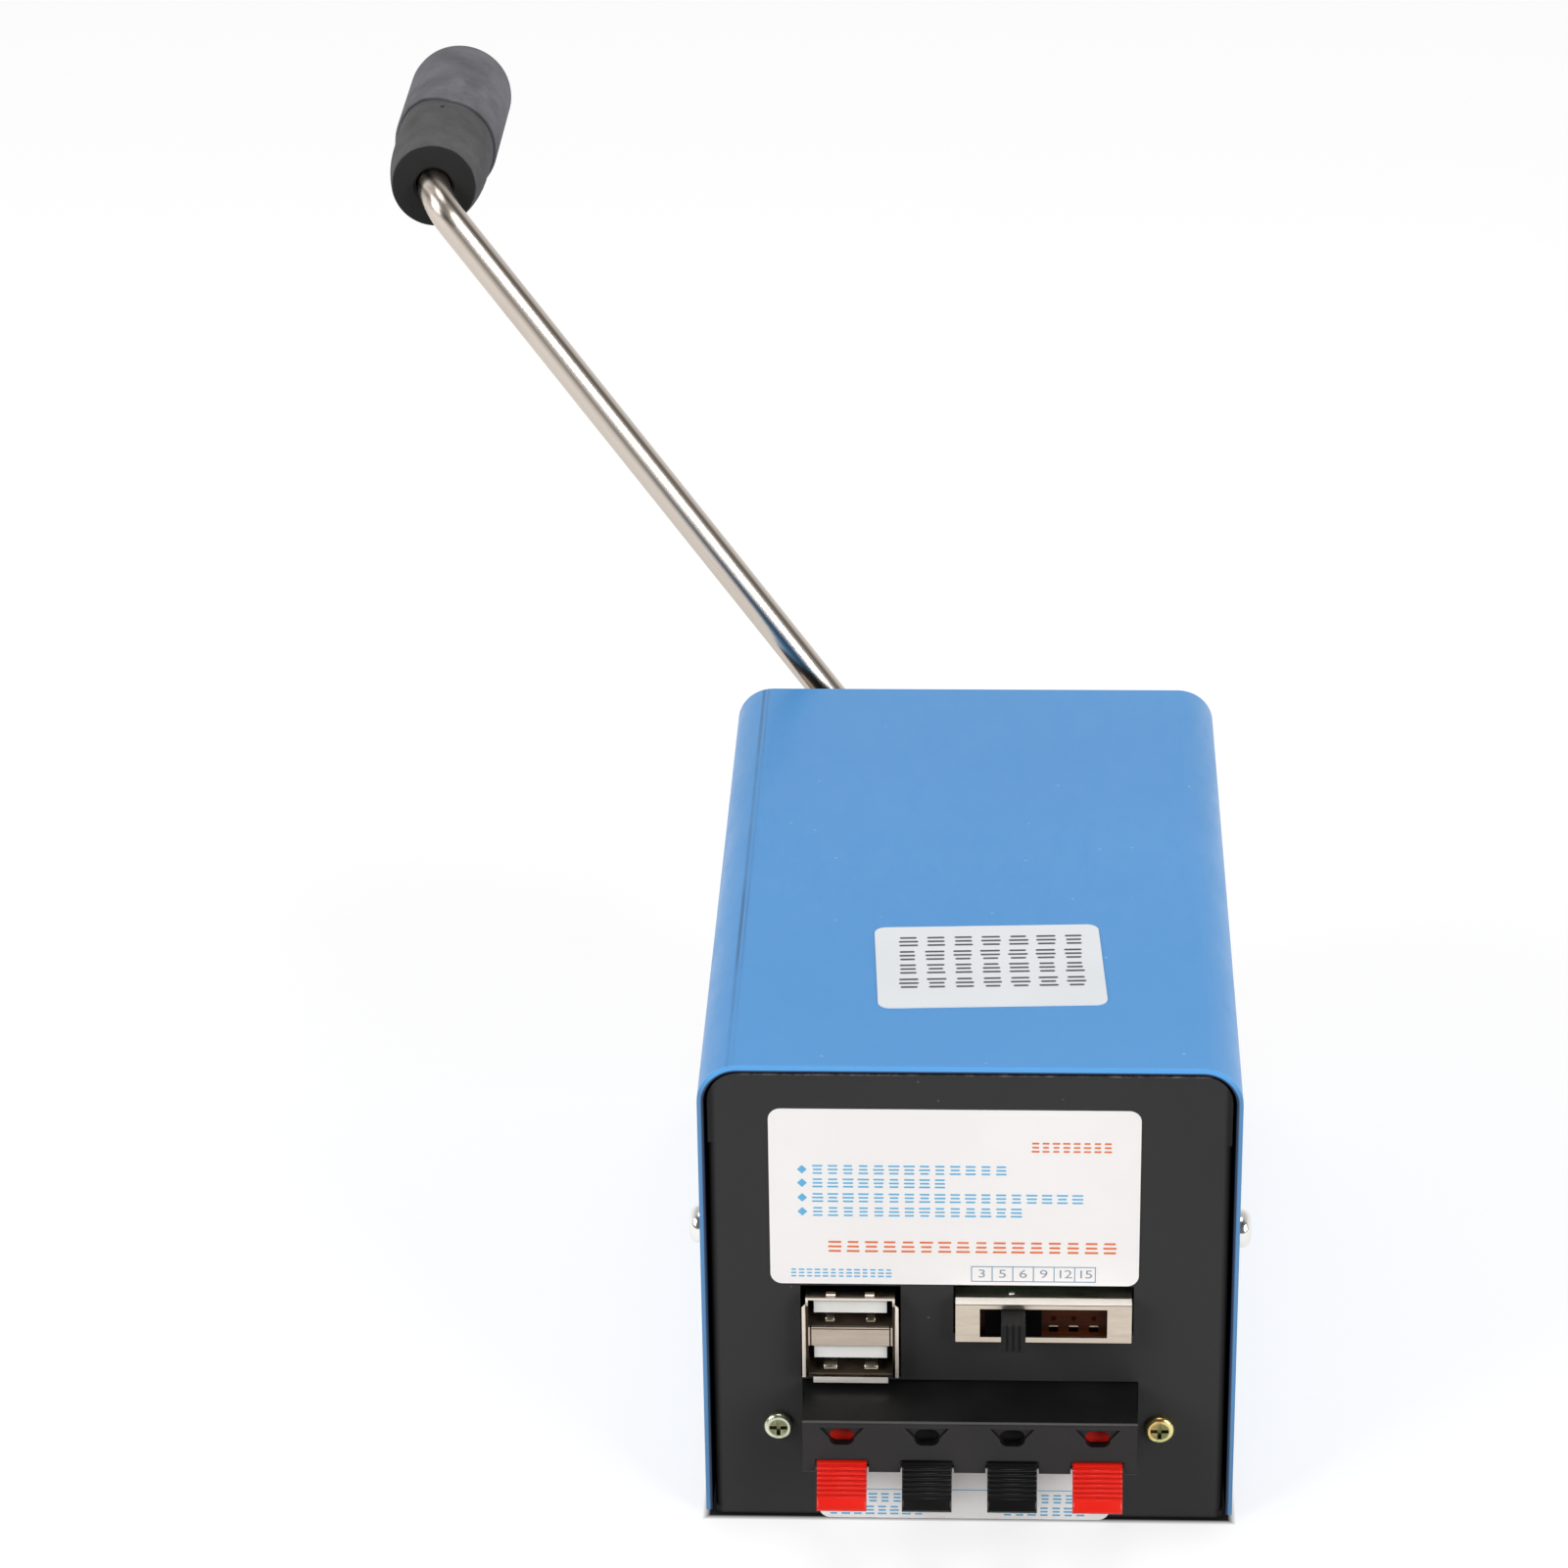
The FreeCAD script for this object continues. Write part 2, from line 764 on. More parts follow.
def web_cuts(centre, y_from, y_to, hub):
    """The recesses and round holes that lighten a large gear."""
    rim = gear_module * (large_teeth / 2 - root_share) - rim_width
    depth = (y_to - y_from - web_thickness) / 2
    cuts = [tube_y(rim, hub, centre, y_from, y_from + depth), tube_y(rim, hub, centre, y_to - depth, y_to)]
    for index in range(web_hole_count):
        angle = 2 * math.pi * (index + 0.5) / web_hole_count
        reach = Vector(math.cos(angle), 0, math.sin(angle)) * (rim + hub) / 2
        cuts.append(along_y(web_hole_radius, centre + reach, y_from, y_to))
    return cuts


def gear_plate(y_from):
    """A gearbox plate with the idler pin's hole and the pillars' screw holes."""
    y_to = y_from + plate_thickness
    plate = rounded_block_y((-plate_half_width, plate_half_width), (y_from, y_to),
                            (plate_low, plate_high), plate_corner)
    holes = [along_y(thread_radius + hole_slack, place, y_from, y_to) for place in pillar_places()]
    holes.append(along_y(idler_pin_radius + press_gap, idler_centre, y_from, y_to))
    return plate.cut(holes)


def bush_outer(shaft_radius):
    """The outer radius of a bush round a shaft."""
    return shaft_radius + running_gap + bush_wall


def rear_gear_plate():
    """The gearbox plate on the rear panel."""
    hole = bush_outer(crank_shaft_radius) + press_gap
    return gear_plate(rear_plate_y).cut(along_y(hole, crank_centre, rear_plate_y, rear_inner))


def dynamo_screw_places():
    """The two screws that hold the dynamo to the front gear plate."""
    towards_crank = (crank_centre - dynamo_centre).normalize()
    across = towards_crank.cross(Y_AXIS) * dynamo_screw_circle
    return [dynamo_centre + across, dynamo_centre - across]


def front_gear_plate():
    """The gearbox plate that carries the dynamo."""
    seats = [(bush_outer(crank_journal_radius) + press_gap, crank_centre),
             (dynamo_boss_radius + press_gap, dynamo_centre)]
    for place in dynamo_screw_places():
        seats.append((thread_radius + hole_slack, place))
    holes = [along_y(radius, place, front_plate_y, front_plate_top) for radius, place in seats]
    return gear_plate(front_plate_y).cut(holes)


def gearbox_pillars():
    """Four spacers between the gear plates, threaded at both ends."""
    pillars = []
    for place in pillar_places():
        pillar = along_y(pillar_radius, place, front_plate_top, rear_plate_y)
        threads = [along_y(thread_radius + press_gap, place, start, start + pillar_thread_depth)
                   for start in (front_plate_top, rear_plate_y - pillar_thread_depth)]
        pillars.append(pillar.cut(threads))
    return Part.makeCompound(pillars)


def gearbox_screws():
    """Screws into both ends of the pillars, and two into the dynamo's face."""
    rear_screw = pan_screw(pan_head, pan_head_height, gearbox_screw_length + sheet + plate_thickness)
    front_screw = pan_screw(pan_head, pan_head_height, gearbox_screw_length + plate_thickness)
    dynamo_screw = pan_screw(pan_head, pan_head_height, 2 * plate_thickness)
    screws = []
    for place in pillar_places():
        screws.append(turned(rear_screw, Y_AXIS, Vector(place.x, panel_y, place.z)))
        screws.append(turned(front_screw, -Y_AXIS, Vector(place.x, front_plate_y, place.z)))
    for place in dynamo_screw_places():
        screws.append(turned(dynamo_screw, Y_AXIS, Vector(place.x, front_plate_top, place.z)))
    return Part.makeCompound(screws)


def flanged_bush(shaft_radius, flange_from, flange_to, body_from, body_to):
    """A bush on the crank's axis with a thrust flange."""
    outer = bush_outer(shaft_radius)
    body = along_y(outer, crank_centre, body_from, body_to)
    flange = along_y(outer + bush_flange_wall, crank_centre, flange_from, flange_to)
    bore = along_y(shaft_radius + running_gap, crank_centre, body_from - bush_flange, body_to + bush_flange)
    return joined([body, flange]).cut(bore)


def crank_bush_rear():
    """The bush that carries the crank shaft in the rear plate and the rear panel."""
    return flanged_bush(crank_shaft_radius, rear_plate_y - bush_flange, rear_plate_y,
                        rear_plate_y, panel_y + bush_stand)


def crank_bush_front():
    """The bush that carries the inner end of the crank shaft."""
    return flanged_bush(crank_journal_radius, front_plate_top, front_plate_top + bush_flange,
                        front_plate_y, front_plate_top)


def d_section(radius, flat, y_from, y_to):
    """A round bar on the crank's axis with one flat, as a key."""
    bar = along_y(radius, crank_centre, y_from, y_to)
    axis_z = crank_centre.z
    above = block((-2 * radius, 2 * radius), (y_from, y_to), (axis_z + flat, axis_z + 2 * radius))
    return bar.cut(above)


def crank_shaft():
    """The stepped crank shaft, with a cross-drilled head outside the case."""
    inner = along_y(crank_journal_radius, crank_centre, front_plate_y + axial_gap, shaft_step_y)
    middle = d_section(crank_shaft_radius, shaft_flat, shaft_step_y, crank_gear_rear)
    outer = along_y(crank_shaft_radius, crank_centre, crank_gear_rear, head_front)
    head = along_y(shaft_head_radius, crank_centre, head_front, head_rear)
    ends = [edge for edge in head.Edges if len(edge.Vertexes) == 1]
    head = head.makeChamfer(head_chamfer, ends)
    groove = tube_y(2 * crank_shaft_radius, crank_shaft_radius - clip_groove_depth, crank_centre,
                    clip_front, clip_rear)
    cross = cylinder(rod_radius + press_gap, crank_centre - arm_direction * 2 * shaft_head_radius
                     + Y_AXIS * arm_y, arm_direction, 4 * shaft_head_radius)
    thread = along_y(set_screw_radius + press_gap, crank_centre, arm_y, head_rear)
    return joined([inner, middle, outer, head]).cut([groove, cross, thread])


def shaft_clip():
    """The snap ring that keeps the crank gear on its shaft."""
    inner = crank_shaft_radius - clip_groove_depth + press_gap
    ring = tube_y(clip_radius, inner, crank_centre, clip_front + press_gap, clip_rear - press_gap)
    mouth = [crank_centre + Vector(reach * math.sin(side * clip_mouth_angle / 2), clip_front,
                                   -reach * math.cos(side * clip_mouth_angle / 2))
             for reach, side in ((0, 1), (3 * clip_radius, -1), (3 * clip_radius, 1))]
    return ring.cut(prism(mouth, [0, 0, 0], Y_AXIS * clip_thickness))


def crank_gear():
    """The large gear on the crank shaft; it meshes with the idler's pinion."""
    blank = gear(large_teeth, idler_angle, crank_centre, crank_gear_front, crank_gear_rear)
    bore = d_section(crank_shaft_radius + press_gap, shaft_flat + press_gap,
                     crank_gear_front, crank_gear_rear)
    cuts = web_cuts(crank_centre, crank_gear_front, crank_gear_rear, 2 * crank_shaft_radius)
    return blank.cut(cuts + [bore])


def idler_gear():
    """The second large gear, with its hub; it drives the dynamo's pinion."""
    disc = gear(large_teeth, dynamo_angle, idler_centre, idler_gear_front, idler_gear_rear)
    hub = along_y(idler_hub_radius, idler_centre, front_plate_top + axial_gap, idler_gear_front)
    bore = along_y(idler_shank_radius + press_gap, idler_centre, front_plate_top, idler_gear_rear)
    cuts = web_cuts(idler_centre, idler_gear_front, idler_gear_rear, idler_hub_radius)
    return joined([disc.cut(cuts), hub]).cut(bore)


def idler_pinion():
    """The small pinion that is pressed into the idler gear and turns on the fixed pin."""
    first_tooth = idler_angle + math.pi + math.pi / small_teeth
    teeth = gear(small_teeth, first_tooth, idler_centre, idler_gear_rear, rear_plate_y - axial_gap)
    shank = along_y(idler_shank_radius, idler_centre, front_plate_top + axial_gap, idler_gear_rear)
    bore = along_y(idler_pin_radius + running_gap, idler_centre, front_plate_top, rear_plate_y)
    return joined([teeth, shank]).cut(bore)


def idler_pin():
    """The fixed pin that the idler turns on."""
    return along_y(idler_pin_radius, idler_centre, front_plate_y + press_gap, rear_inner)


# ---- Crank arm and grip ----

def crank_rod():
    """The bent steel arm: straight up from the shaft head, then back into the grip."""
    start = crank_centre - arm_direction * rod_tail + Y_AXIS * arm_y
    corner = grip_axis + Y_AXIS * arm_y
    end = grip_axis + Y_AXIS * rod_end_y
    rod = lead([start, corner, end], rod_radius, rod_bend)
    rims = [edge for edge in rod.Edges if len(edge.Vertexes) == 1
            and min(edge.CenterOfMass.distanceToPoint(point) for point in (start, end)) < same_place]
    return rod.makeChamfer(rod_end_chamfer, rims)


def crank_set_screw():
    """The socket screw in the shaft head that clamps the arm."""
    front = arm_y + rod_radius + press_gap
    screw = along_y(set_screw_radius, crank_centre, front, head_rear - set_screw_sink)
    corners = [crank_centre + Vector(set_screw_socket * math.cos(k * math.pi / 3), head_rear - set_screw_sink,
                                     set_screw_socket * math.sin(k * math.pi / 3)) for k in range(6)]
    socket = prism(corners, [0] * 6, -Y_AXIS * (head_rear - front) / 2)
    return screw.cut(socket)


def grip_point(radius, distance):
    """A point of the grip's outline, in the plane through its axis."""
    return Vector(radius, grip_front + distance, 0)


def on_grip_axis(face):
    """A half outline turned once round the grip's axis."""
    solid = face.revolve(Vector(0, 0, 0), Y_AXIS, 360)
    solid.translate(grip_axis)
    return solid


def grip_sleeve():
    """The rubber sleeve: a tapered nose, a small step and a round far end."""
    corners = [grip_point(0, 0), grip_point(grip_nose_radius, 0),
               grip_point(grip_neck_radius, grip_neck), grip_point(grip_step_radius, grip_step),
               grip_point(grip_radius, grip_step), grip_point(grip_radius, grip_length),
               grip_point(0, grip_length)]
    radii = [0, grip_nose_edge, grip_neck_bend, 0, grip_step_edge, grip_end_radius, 0]
    skin = on_grip_axis(Part.Face(outline(corners, radii)))
    mouth = along_y(grip_mouth_radius, grip_axis, grip_front, core_front)
    hollow = along_y(core_radius + press_gap, grip_axis, core_front, grip_front + grip_length - grip_end_wall)
    return skin.cut([mouth, hollow])


def grip_core():
    """The plastic tube inside the sleeve that turns on the arm."""
    return tube_y(core_radius, rod_radius + core_running_gap, grip_axis, core_front, core_rear)


def grip_clip():
    """The push-on washer that keeps the grip on the arm."""
    return tube_y(grip_clip_radius, rod_radius + press_gap, grip_axis, grip_clip_front,
                  grip_clip_front + grip_clip_thickness)


# ---- Dynamo ----

def dynamo_y(distance):
    """A Y value, measured forward from the dynamo's mounting face."""
    return front_plate_y - distance


def dynamo_tube(outer, inner, start, length):
    """A ring on the dynamo's axis."""
    return tube_y(outer, inner, dynamo_centre, dynamo_y(start + length), dynamo_y(start))


def dynamo_can():
    """The dynamo's steel can, closed at the gear side."""
    body = along_y(dynamo_radius, dynamo_centre, dynamo_y(dynamo_can_length), dynamo_y(0))
    rim = [edge for edge in body.Edges
           if len(edge.Vertexes) == 1 and edge.BoundBox.YMin > dynamo_y(dynamo_edge)]
    body = body.makeFillet(dynamo_edge, rim)
    boss = along_y(dynamo_boss_radius, dynamo_centre, dynamo_y(0), dynamo_y(-dynamo_boss_height))
    inside = dynamo_y(dynamo_wall)
    hollow = along_y(dynamo_radius - dynamo_wall, dynamo_centre, dynamo_y(dynamo_can_length), inside)
    bush = along_y(dynamo_bush_radius + press_gap, dynamo_centre, inside, dynamo_y(-dynamo_boss_height))
    cuts = [hollow, bush]
    for place in dynamo_screw_places():
        cuts.append(along_y(thread_radius + press_gap, place, inside, dynamo_y(0)))
    return joined([body, boss]).cut(cuts)


def brush_box(side, slack):
    """The space of one brush, on the left or right of the commutator."""
    middle = commutator_start + commutator_length / 2
    near = commutator_radius + brush_gap
    x_ends = sorted([dynamo_centre.x + side * near, dynamo_centre.x + side * (near + brush_length)])
    return block((x_ends[0] - slack, x_ends[1] + slack),
                 (dynamo_y(middle) - brush_width / 2 - slack, dynamo_y(middle) + brush_width / 2 + slack),
                 (dynamo_centre.z - brush_height / 2 - slack, dynamo_centre.z + brush_height / 2 + slack))


def dynamo_cap():
    """The plastic cap with the brush holders and the inner bush's seat."""
    inner_radius = dynamo_radius - dynamo_wall - press_gap
    plate = along_y(dynamo_radius, dynamo_centre, dynamo_y(dynamo_can_length + cap_thickness),
                    dynamo_y(dynamo_can_length))
    spigot = dynamo_tube(inner_radius, inner_radius - 2 * dynamo_wall,
                         dynamo_can_length - cap_spigot, cap_spigot)
    holders = []
    brush_middle = commutator_start + commutator_length / 2
    holder_end = dynamo_y(brush_middle) + brush_width / 2 + brush_holder_wall
    for side in (-1, 1):
        near = dynamo_centre.x + side * (commutator_radius + brush_holder_setback)
        far = near + side * brush_length
        x_ends = sorted([near, far])
        holders.append(block(x_ends, (dynamo_y(dynamo_can_length), holder_end),
                             (dynamo_centre.z - brush_height, dynamo_centre.z + brush_height)))
    bush = along_y(dynamo_bush_radius + press_gap, dynamo_centre, dynamo_y(dynamo_can_length + cap_thickness),
                   dynamo_y(dynamo_can_length))
    slots = [brush_box(side, press_gap) for side in (-1, 1)]
    tabs = [terminal_tab(side, press_gap) for side in (-1, 1)]
    return joined([plate, spigot] + holders).cut([bush] + slots + tabs)


def terminal_tab(side, slack):
    """One solder tab that comes out of the cap."""
    x = dynamo_centre.x + side * tab_offset
    return block((x - tab_width / 2 - slack, x + tab_width / 2 + slack),
                 (dynamo_y(dynamo_can_length + cap_thickness + tab_length), dynamo_y(dynamo_can_length)),
                 (tab_z - tab_thickness / 2 - slack, tab_z + tab_thickness / 2 + slack))


def dynamo_brushes():
    """Two carbon brushes and their two brass solder tabs."""
    parts = [brush_box(side, 0) for side in (-1, 1)] + [terminal_tab(side, 0) for side in (-1, 1)]
    return Part.makeCompound(parts)


def dynamo_magnets():
    """Two curved magnets inside the can."""
    outer = dynamo_radius - dynamo_wall - magnet_gap
    ring = dynamo_tube(outer, outer - magnet_thickness, magnet_start, magnet_length)
    magnets = []
    for side in (1, -1):
        reach = Vector(4 * dynamo_radius, 0, 0)
        half = magnet_angle / 2
        corners = [Vector(0, 0, 0), Vector(reach.x * math.cos(half), 0, -reach.x * math.sin(half)),
                   Vector(reach.x * math.cos(half), 0, reach.x * math.sin(half))]
        wedge = prism([point * side for point in corners], [0, 0, 0], Y_AXIS * magnet_length)
        wedge.translate(Vector(dynamo_centre.x, dynamo_y(magnet_start + magnet_length), dynamo_centre.z))
        magnets.append(ring.common(wedge))
    return Part.makeCompound(magnets)


def armature_radius():
    """The outside of the armature, one air gap inside the magnets."""
    return dynamo_radius - dynamo_wall - magnet_gap - magnet_thickness - air_gap


def slot_shapes(slack, start, length):
    """The windings' spaces between the armature's poles."""
    shapes = []
    for index in range(slot_count):
        half = slot_spread / 2 - slack
        corners = [Vector(slot_floor + slack, 0, -half / 3), Vector(slot_roof - slack, 0, -half),
                   Vector(slot_roof - slack, 0, half), Vector(slot_floor + slack, 0, half / 3)]
        slot = prism(corners, [0, 0, 0, 0], -Y_AXIS * length)
        slot.rotate(Vector(0, 0, 0), Y_AXIS, 360 * index / slot_count)
        slot.translate(Vector(dynamo_centre.x, dynamo_y(start), dynamo_centre.z))
        shapes.append(slot)
    return shapes


def armature_core():
    """The laminated core with its winding slots."""
    core = dynamo_tube(armature_radius(), dynamo_shaft_radius + press_gap, armature_start, armature_length)
    necks = []
    for index in range(slot_count):
        neck = block((slot_roof - slot_neck / 2, 2 * armature_radius()), (0, armature_length),
                     (-slot_neck / 2, slot_neck / 2))
        neck.rotate(Vector(0, 0, 0), Y_AXIS, 360 * index / slot_count)
        neck.translate(Vector(dynamo_centre.x, dynamo_y(armature_start + armature_length), dynamo_centre.z))
        necks.append(neck)
    return core.cut(slot_shapes(0, armature_start, armature_length) + necks)


def armature_windings():
    """The copper windings: bundles in the slots, joined by the end turns."""
    bundles = slot_shapes(coil_gap, armature_start - coil_gap, armature_length + 2 * coil_gap)
    ends = []
    for start in (armature_start - coil_gap - coil_overhang, armature_start + armature_length + coil_gap):
        ends.append(dynamo_tube(slot_roof - coil_gap, slot_floor + coil_gap, start, coil_overhang - coil_gap))
    front, rear = ends
    front.translate(Vector(0, -coil_gap, 0))
    return joined(bundles + [front, rear])


def commutator():
    """The copper commutator, grooved between its segments."""
    ring = dynamo_tube(commutator_radius, dynamo_shaft_radius + press_gap,
                       commutator_start, commutator_length)
    grooves = []
    foot = dynamo_y(commutator_start + commutator_length)
    for index in range(slot_count):
        groove = block((commutator_radius - commutator_groove, 2 * commutator_radius), (0, commutator_length),
                       (-commutator_groove / 2, commutator_groove / 2))
        groove.rotate(Vector(0, 0, 0), Y_AXIS, 360 * (index + 0.5) / slot_count)
        groove.translate(Vector(dynamo_centre.x, foot, dynamo_centre.z))
        grooves.append(groove)
    return ring.cut(grooves)


def dynamo_shaft():
    """The dynamo's shaft, through both bushes and the pinion."""
    front = dynamo_y(dynamo_can_length + cap_thickness - press_gap)
    return along_y(dynamo_shaft_radius, dynamo_centre, front, idler_gear_front + dynamo_pinion_width)


def dynamo_bushes():
    """Two plain bushes, one in the can and one in the cap."""
    bore = dynamo_shaft_radius + running_gap
    front = dynamo_tube(dynamo_bush_radius, bore, -dynamo_boss_height, dynamo_boss_height + dynamo_wall)
    rear = dynamo_tube(dynamo_bush_radius, bore, dynamo_can_length, cap_thickness)
    return Part.makeCompound([front, rear])


def dynamo_pinion():
    """The pinion on the dynamo's shaft."""
    first_tooth = dynamo_angle + math.pi + math.pi / small_teeth
    y_from = idler_gear_front - free_gap
    teeth = gear(small_teeth, first_tooth, dynamo_centre, y_from, y_from + dynamo_pinion_width)
    return teeth.cut(along_y(dynamo_shaft_radius + press_gap, dynamo_centre, front_plate_y, rear_plate_y))


# ---- Sockets ----

def usb_shell():
    """The nickel shell of the two stacked sockets, with its springs and flap."""
    half = usb_width / 2
    outer = block((usb_x - half, usb_x + half), (usb_front, usb_rear), (usb_low, usb_high))
    inner_x = (usb_x - half + usb_wall, usb_x + half - usb_wall)
    ports_rear = usb_front + usb_divider_depth
    cuts = []
    for low, high in ((usb_low + usb_wall, usb_divider_low), (usb_divider_high, usb_high - usb_wall)):
        cuts.append(block(inner_x, (usb_front, ports_rear), (low, high)))
    cuts.append(block(inner_x, (ports_rear, usb_rear - usb_wall), (usb_low + usb_wall, usb_high - usb_wall)))
    flap = block((usb_x - usb_flap_width / 2, usb_x + usb_flap_width / 2), (usb_front, usb_front + usb_wall),
                 (usb_low - usb_flap_drop, usb_low + usb_wall))
    extras = [flap]
    for side in (-1, 1):
        wall_x = usb_x + side * half
        ear = [Vector(wall_x, usb_front, usb_ear_low),
               Vector(wall_x + side * usb_ear, usb_front, usb_ear_low),
               Vector(wall_x, usb_front + usb_ear_depth, usb_ear_low)]
        extras.append(prism(ear, [0, 0, 0], Z_AXIS * (usb_ear_high - usb_ear_low)))
        left = usb_x + side * usb_spring_spacing / 2 - usb_spring_width / 2
        spring = [Vector(left, usb_front + usb_wall, usb_high),
                  Vector(left, usb_front + usb_ear_depth, usb_high),
                  Vector(left, usb_front + 3 * usb_wall, usb_high + usb_spring_height)]
        extras.append(prism(spring, [0, 0, 0], X_AXIS * usb_spring_width))
    return joined([outer.cut(cuts)] + extras)


def usb_insulator():
    """The white plastic inside the sockets: a rear block and two tongues."""
    half = usb_width / 2 - usb_wall - press_gap
    low = usb_low + usb_wall + press_gap
    high = usb_high - usb_wall - press_gap
    rear = usb_rear - usb_wall - press_gap
    body = block((usb_x - half, usb_x + half), (rear - insulator_depth, rear), (low, high))
    tongues = []
    for roof in (usb_divider_low, usb_high - usb_wall):
        top = roof - tongue_drop
        tongues.append(block((usb_x - tongue_width / 2, usb_x + tongue_width / 2),
                             (usb_front + tongue_setback, rear - insulator_depth),
                             (top - tongue_thickness, top)))
    return joined([body] + tongues)


# ---- Voltage slide ----

def switch_frame():
    """The nickel frame of the slide switch."""
    half = switch_length / 2
    outer = block((switch_x - half, switch_x + half), (switch_front, switch_rear), (switch_low, switch_high))
    inner = block((switch_x - half + switch_wall, switch_x + half - switch_wall),
                  (switch_front + switch_wall, switch_rear),
                  (switch_low + switch_wall, switch_high - switch_wall))
    slot = block((switch_x - slot_length / 2, switch_x + slot_length / 2), (switch_front, switch_rear),
                 (switch_z - slot_height / 2, switch_z + slot_height / 2))
    return outer.cut([inner, slot])


def switch_base():
    """The brown laminate block that holds the contacts."""
    half = switch_length / 2 - switch_wall - press_gap
    front = switch_front + switch_wall + slider_thickness + 2 * slider_gap
    body = block((switch_x - half, switch_x + half), (front, switch_rear),
                 (switch_low + switch_wall + press_gap, switch_high - switch_wall - press_gap))
    pins = [along_y(switch_pin_radius + press_gap, place, front, switch_rear)
            for place in switch_pin_places()]
    return body.cut(pins)


def switch_pin_places():
    """One pin for each position of the slide."""
    first = switch_x - (switch_positions - 1) / 2 * switch_pitch
    return [Vector(first + index * switch_pitch, 0, switch_z) for index in range(switch_positions)]


def switch_contacts():
    """The contact pins, from the sliding face to the circuit board."""
    front = switch_front + switch_wall + slider_thickness + 2 * slider_gap + press_gap
    pins = [along_y(switch_pin_radius, place, front, switch_rear + switch_pin_length)
            for place in switch_pin_places()]
    return Part.makeCompound(pins)


def switch_knob():
    """The black slider with its ribbed knob."""
    plate_front = switch_front + switch_wall + slider_gap
    plate = block((knob_x - slider_width / 2, knob_x + slider_width / 2),
                  (plate_front, plate_front + slider_thickness),
                  (switch_z - slider_height / 2, switch_z + slider_height / 2))
    front = switch_front - knob_reach
    low = switch_z - knob_height / 2
    knob = rounded_block_y((knob_x - knob_width / 2, knob_x + knob_width / 2), (front, plate_front),
                           (low, low + knob_height), knob_edge)
    pitch = knob_width / knob_rib_count
    grooves = []
    for index in range(1, knob_rib_count):
        x = knob_x - knob_width / 2 + index * pitch
        half = pitch * knob_groove_share / 2
        grooves.append(block((x - half, x + half), (front, front + knob_rib_depth), (low, low + knob_height)))
    return joined([knob.cut(grooves), plate])


# ---- Spring terminals ----

def terminal_centres():
    """The X of each terminal."""
    first = terminal_x - (terminal_count - 1) / 2 * terminal_pitch
    return [first + index * terminal_pitch for index in range(terminal_count)]


def terminal_housing():
    """The black housing: its front stands out of the panel, and its ears lie behind it."""
    left = terminal_x - terminal_half_width
    rear = front_inner + terminal_depth
    corners = [Vector(left, terminal_front, terminal_high), Vector(left, terminal_front, terminal_front_low),
               Vector(left, front_face, terminal_low), Vector(left, rear, terminal_low),
               Vector(left, rear, terminal_high)]
    body = prism(corners, [terminal_edge, terminal_lip_edge, 0, 0, 0], X_AXIS * 2 * terminal_half_width)
    ear_x = terminal_screw_spacing / 2 + terminal_ear_end
    ears = block((-ear_x, ear_x),
                 (front_inner, front_inner + terminal_ear_thickness),
                 (terminal_low + terminal_ear_margin, terminal_high - terminal_ear_margin))
    cuts = [along_y(thread_radius + hole_slack, place, front_inner, front_inner + terminal_ear_thickness)
            for place in terminal_screw_places()]
    for x in terminal_centres():
        cuts.extend(terminal_cuts(x))
    return joined([body, ears]).cut(cuts)


def terminal_cuts(x):
    """The lever's chamber, its notch, its hinge sockets and the wire hole of one terminal."""
    chamber = block((x - chamber_half, x + chamber_half), (chamber_front, chamber_rear), (0, chamber_top))
    notch = block((x - chamber_half, x + chamber_half),
                  (terminal_front - terminal_wall, chamber_front), (0, lever_notch))
    socket_reach = chamber_half + lever_trunnion_length
    socket_end = Vector(x - socket_reach, pivot_y, lever_pivot_height)
    sockets = cylinder(lever_trunnion_radius + running_gap, socket_end, X_AXIS, 2 * socket_reach)
    hole = rounded_block_y((x - wire_hole_width / 2, x + wire_hole_width / 2),
                           (terminal_front, chamber_front),
                           (wire_hole_height - wire_hole_tall / 2, wire_hole_height + wire_hole_tall / 2),
                           wire_hole_corner)
    hood_top = wire_hole_height + hood_rise
    hood_corners = [Vector(x - hood_width / 2, terminal_front, hood_top),
                    Vector(x + hood_width / 2, terminal_front, hood_top),
                    Vector(x + wire_hole_width / 2, terminal_front, wire_hole_height),
                    Vector(x - wire_hole_width / 2, terminal_front, wire_hole_height)]
    hood = prism(hood_corners, [0] * 4, Y_AXIS * hood_depth)
    rear = front_inner + terminal_depth
    pocket = block((x - chamber_half, x + chamber_half), (front_inner + terminal_ear_thickness, rear),
                   (terminal_low + terminal_wall, terminal_high - terminal_wall))
    return [chamber, notch, sockets, hole, hood, pocket]


def lever_rib_cuts(x, root, direction, inward):
    """The grooves between the ribs on a lever's face."""
    cuts = []
    for index in range(lever_rib_count):
        middle = root + direction * (lever_groove_start + lever_rib_pitch * index)
        along = direction * lever_groove_half
        floor = middle + inward * lever_rib_depth
        corners = [middle - along - inward, middle + along - inward, floor + along / 2, floor - along / 2]
        shifted = [corner + X_AXIS * (x - lever_width) for corner in corners]
        cuts.append(prism(shifted, [0] * 4, X_AXIS * 2 * lever_width))
    return cuts


